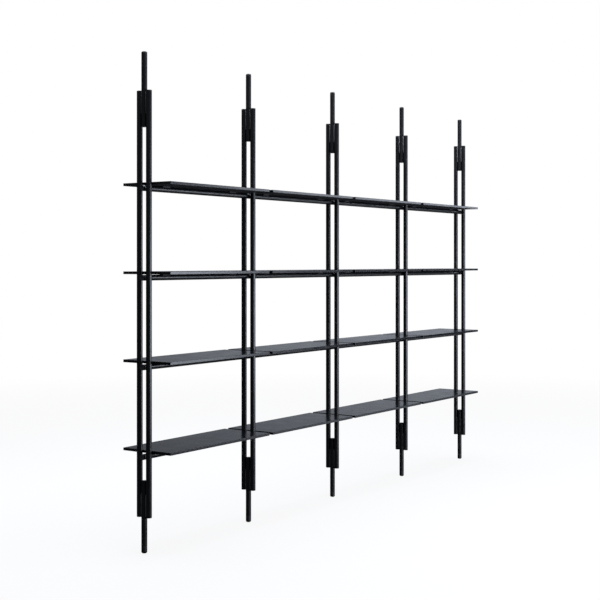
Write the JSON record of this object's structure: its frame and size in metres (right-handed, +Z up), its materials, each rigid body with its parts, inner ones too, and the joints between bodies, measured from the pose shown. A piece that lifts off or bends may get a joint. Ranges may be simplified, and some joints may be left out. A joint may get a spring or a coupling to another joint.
{
  "type": "floor-to-ceiling pole bookcase",
  "caption": "Slender floor-to-ceiling bookcase: paired round posts clamped on telescopic rods, long round rails between the posts and thin black shelves resting on the rails.",
  "frame": {"origin": "on the floor below the middle upright, centred on length and depth", "axes": "+X along the row of uprights, -Y towards the front, +Z up to the ceiling"},
  "size_m": [3.762, 0.34, 2.7],
  "materials": {
    "tube_paint": "satin black powder coat on steel tube",
    "rod_paint": "matt black powder coat on steel tube",
    "shelf_lacquer": "satin black lacquer on board",
    "plug_plastic": "moulded black plastic, fine texture",
    "pad_rubber": "moulded black rubber",
    "foot_nylon": "moulded black nylon",
    "bolt_steel": "black oxide steel"
  },
  "bodies": {
    "frame": {"front_post_1": "tube_paint", "rear_post_1": "tube_paint", "bottom_rod_1": "rod_paint", "front_post_2": "tube_paint", "rear_post_2": "tube_paint", "bottom_rod_2": "rod_paint", "front_post_3": "tube_paint", "rear_post_3": "tube_paint", "bottom_rod_3": "rod_paint", "front_post_4": "tube_paint", "rear_post_4": "tube_paint", "bottom_rod_4": "rod_paint", "front_post_5": "tube_paint", "rear_post_5": "tube_paint", "bottom_rod_5": "rod_paint", "rail_1": "tube_paint", "shelf_1_1": "shelf_lacquer", "shelf_1_2": "shelf_lacquer", "shelf_1_3": "shelf_lacquer", "shelf_1_4": "shelf_lacquer", "rail_2": "tube_paint", "shelf_2_1": "shelf_lacquer", "shelf_2_2": "shelf_lacquer", "shelf_2_3": "shelf_lacquer", "shelf_2_4": "shelf_lacquer", "rail_3": "tube_paint", "shelf_3_1": "shelf_lacquer", "shelf_3_2": "shelf_lacquer", "shelf_3_3": "shelf_lacquer", "shelf_3_4": "shelf_lacquer", "rail_4": "tube_paint", "shelf_4_1": "shelf_lacquer", "shelf_4_2": "shelf_lacquer", "shelf_4_3": "shelf_lacquer", "shelf_4_4": "shelf_lacquer", "cross_bolts": "bolt_steel", "thread_inserts": "bolt_steel", "saddle_spacers": "plug_plastic", "shelf_saddles": "plug_plastic", "tube_plugs": "plug_plastic"},
    "upper_rod_1": {"top_rod_1": "rod_paint", "ceiling_pad_1": "pad_rubber"},
    "collar_1": {"levelling_collar_1": "bolt_steel"},
    "foot_1": {"levelling_foot_1": "foot_nylon"},
    "upper_rod_2": {"top_rod_2": "rod_paint", "ceiling_pad_2": "pad_rubber"},
    "collar_2": {"levelling_collar_2": "bolt_steel"},
    "foot_2": {"levelling_foot_2": "foot_nylon"},
    "upper_rod_3": {"top_rod_3": "rod_paint", "ceiling_pad_3": "pad_rubber"},
    "collar_3": {"levelling_collar_3": "bolt_steel"},
    "foot_3": {"levelling_foot_3": "foot_nylon"},
    "upper_rod_4": {"top_rod_4": "rod_paint", "ceiling_pad_4": "pad_rubber"},
    "collar_4": {"levelling_collar_4": "bolt_steel"},
    "foot_4": {"levelling_foot_4": "foot_nylon"},
    "upper_rod_5": {"top_rod_5": "rod_paint", "ceiling_pad_5": "pad_rubber"},
    "collar_5": {"levelling_collar_5": "bolt_steel"},
    "foot_5": {"levelling_foot_5": "foot_nylon"}
  },
  "joints": [
    {"name": "upper_rod_slide_1", "type": "slide", "parent": "frame", "child": "upper_rod_1", "axis": [0, 0, 1], "range_m": [-0.02, 0.06]},
    {"name": "collar_turn_1", "type": "hinge", "parent": "frame", "child": "collar_1", "pos_m": [-1.86, 0, 0.034], "axis": [0, 0, 1], "range_deg": [0, 3600]},
    {"name": "foot_slide_1", "type": "slide", "parent": "frame", "child": "foot_1", "axis": [0, 0, 1], "range_m": [-0.0201, 0]},
    {"name": "upper_rod_slide_2", "type": "slide", "parent": "frame", "child": "upper_rod_2", "axis": [0, 0, 1], "range_m": [-0.02, 0.06]},
    {"name": "collar_turn_2", "type": "hinge", "parent": "frame", "child": "collar_2", "pos_m": [-0.93, 0, 0.034], "axis": [0, 0, 1], "range_deg": [0, 3600]},
    {"name": "foot_slide_2", "type": "slide", "parent": "frame", "child": "foot_2", "axis": [0, 0, 1], "range_m": [-0.0201, 0]},
    {"name": "upper_rod_slide_3", "type": "slide", "parent": "frame", "child": "upper_rod_3", "axis": [0, 0, 1], "range_m": [-0.02, 0.06]},
    {"name": "collar_turn_3", "type": "hinge", "parent": "frame", "child": "collar_3", "pos_m": [0, 0, 0.034], "axis": [0, 0, 1], "range_deg": [0, 3600]},
    {"name": "foot_slide_3", "type": "slide", "parent": "frame", "child": "foot_3", "axis": [0, 0, 1], "range_m": [-0.0201, 0]},
    {"name": "upper_rod_slide_4", "type": "slide", "parent": "frame", "child": "upper_rod_4", "axis": [0, 0, 1], "range_m": [-0.02, 0.06]},
    {"name": "collar_turn_4", "type": "hinge", "parent": "frame", "child": "collar_4", "pos_m": [0.93, 0, 0.034], "axis": [0, 0, 1], "range_deg": [0, 3600]},
    {"name": "foot_slide_4", "type": "slide", "parent": "frame", "child": "foot_4", "axis": [0, 0, 1], "range_m": [-0.0201, 0]},
    {"name": "upper_rod_slide_5", "type": "slide", "parent": "frame", "child": "upper_rod_5", "axis": [0, 0, 1], "range_m": [-0.02, 0.06]},
    {"name": "collar_turn_5", "type": "hinge", "parent": "frame", "child": "collar_5", "pos_m": [1.86, 0, 0.034], "axis": [0, 0, 1], "range_deg": [0, 3600]},
    {"name": "foot_slide_5", "type": "slide", "parent": "frame", "child": "foot_5", "axis": [0, 0, 1], "range_m": [-0.0201, 0]}
  ],
  "couplings": [
    {"joint": "foot_slide_1", "follows": "collar_turn_1", "m_per_rad": -0.00031831},
    {"joint": "foot_slide_2", "follows": "collar_turn_2", "m_per_rad": -0.00031831},
    {"joint": "foot_slide_3", "follows": "collar_turn_3", "m_per_rad": -0.00031831},
    {"joint": "foot_slide_4", "follows": "collar_turn_4", "m_per_rad": -0.00031831},
    {"joint": "foot_slide_5", "follows": "collar_turn_5", "m_per_rad": -0.00031831}
  ]
}
